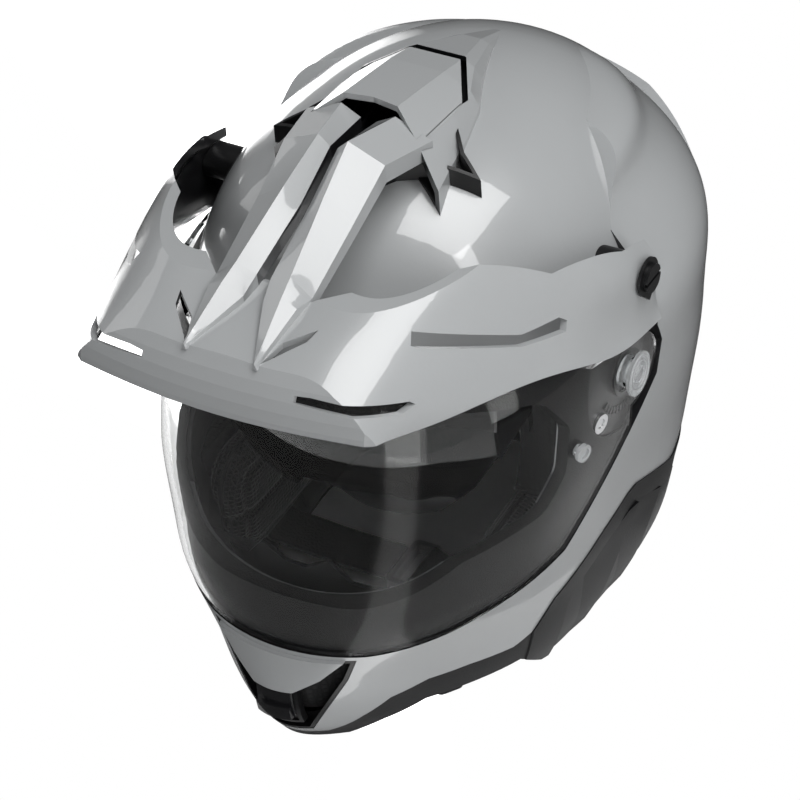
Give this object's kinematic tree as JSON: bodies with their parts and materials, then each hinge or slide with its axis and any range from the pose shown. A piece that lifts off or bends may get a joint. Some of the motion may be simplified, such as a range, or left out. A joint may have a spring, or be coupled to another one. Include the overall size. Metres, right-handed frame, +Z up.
{
  "type": "dual sport helmet",
  "caption": "Full-face helmet with a peak on twin struts, clear hinged face shield, drop-down sun visor, chin and top vents, liners, cheek pads and a ring-fastened strap.",
  "frame": {"origin": "under the middle of the helmet's box, on the flat that its lower rim rests on", "axes": "+Z up, the wearer looks along -Y, +X is the wearer's left"},
  "size_m": [0.2424, 0.3444, 0.2908],
  "materials": {
    "shell_paint": "gloss light grey painted shell",
    "black_plastic": "satin black",
    "gloss_black": "gloss black",
    "gasket_rubber": "matt black",
    "clear_pane": "clear",
    "tinted_pane": "smoke tint",
    "foam": "rigid black foam",
    "lining": "black mesh fabric",
    "webbing": "black webbing",
    "steel": "plated steel",
    "clear_fitting": "clear fitting"
  },
  "bodies": {
    "shell": {"outer_shell": "shell_paint", "peak": "shell_paint", "top_vent_housing": "shell_paint", "chin_vent_cover": "shell_paint", "rear_spoiler": "shell_paint", "lower_rim_trim": "black_plastic", "chin_vent_frame": "black_plastic", "top_vent_duct": "black_plastic", "rear_exhaust": "black_plastic", "demist_louvres": "black_plastic", "breath_guard": "black_plastic", "skirt_frame_left": "black_plastic", "skirt_frame_right": "black_plastic", "skirt_panel_left": "black_plastic", "skirt_panel_right": "black_plastic", "shield_base_plate_left": "black_plastic", "shield_base_plate_right": "black_plastic", "peak_plate_left": "black_plastic", "peak_plate_right": "black_plastic", "peak_mount_left": "black_plastic", "peak_mount_right": "black_plastic", "peak_screw_left": "black_plastic", "peak_screw_right": "black_plastic", "sun_visor_pins": "gloss_black", "eye_port_gasket": "gasket_rubber", "eps_crown": "foam", "eps_chin": "foam", "eps_cheek_left": "foam", "eps_cheek_right": "foam", "crown_pad": "lining", "neck_roll": "lining", "chin_curtain": "lining", "cheek_pad_left": "lining", "cheek_pad_right": "lining", "chin_strap_left": "webbing", "chin_strap_right": "webbing", "strap_rings": "steel", "strap_rivets": "steel", "base_plate_screws": "steel", "shield_pivot_cap_left": "clear_fitting", "shield_pivot_cap_right": "clear_fitting"},
    "shield": {"face_shield": "clear_pane", "lens_pins": "clear_fitting"},
    "visor": {"sun_visor": "tinted_pane", "sun_visor_arms": "gloss_black"},
    "visor_slider": {"sun_visor_slider": "black_plastic"},
    "vent_slider": {"top_vent_slider": "shell_paint"},
    "chin_shutter": {"chin_vent_shutter": "gloss_black"}
  },
  "joints": [
    {"name": "shield_hinge", "type": "hinge", "parent": "shell", "child": "shield", "pos_m": [0, 0.00203, 0.155], "axis": [-1, 0, 0], "range_deg": [0, 42]},
    {"name": "visor_hinge", "type": "hinge", "parent": "shell", "child": "visor", "pos_m": [0, 0.00203, 0.155], "axis": [-1, 0, 0], "range_deg": [0, 35]},
    {"name": "visor_slide", "type": "slide", "parent": "shell", "child": "visor_slider", "axis": [0.5759, 0.8175, 0], "range_m": [0, 0.022]},
    {"name": "vent_slide", "type": "slide", "parent": "shell", "child": "vent_slider", "axis": [0, 0.9816, -0.1908], "range_m": [0, 0.0045]},
    {"name": "shutter_slide", "type": "slide", "parent": "shell", "child": "chin_shutter", "axis": [0, 0, -1], "range_m": [0, 0.005]}
  ],
  "couplings": [
    {"joint": "visor_slide", "follows": "visor_hinge", "m_per_rad": 0.03585}
  ]
}
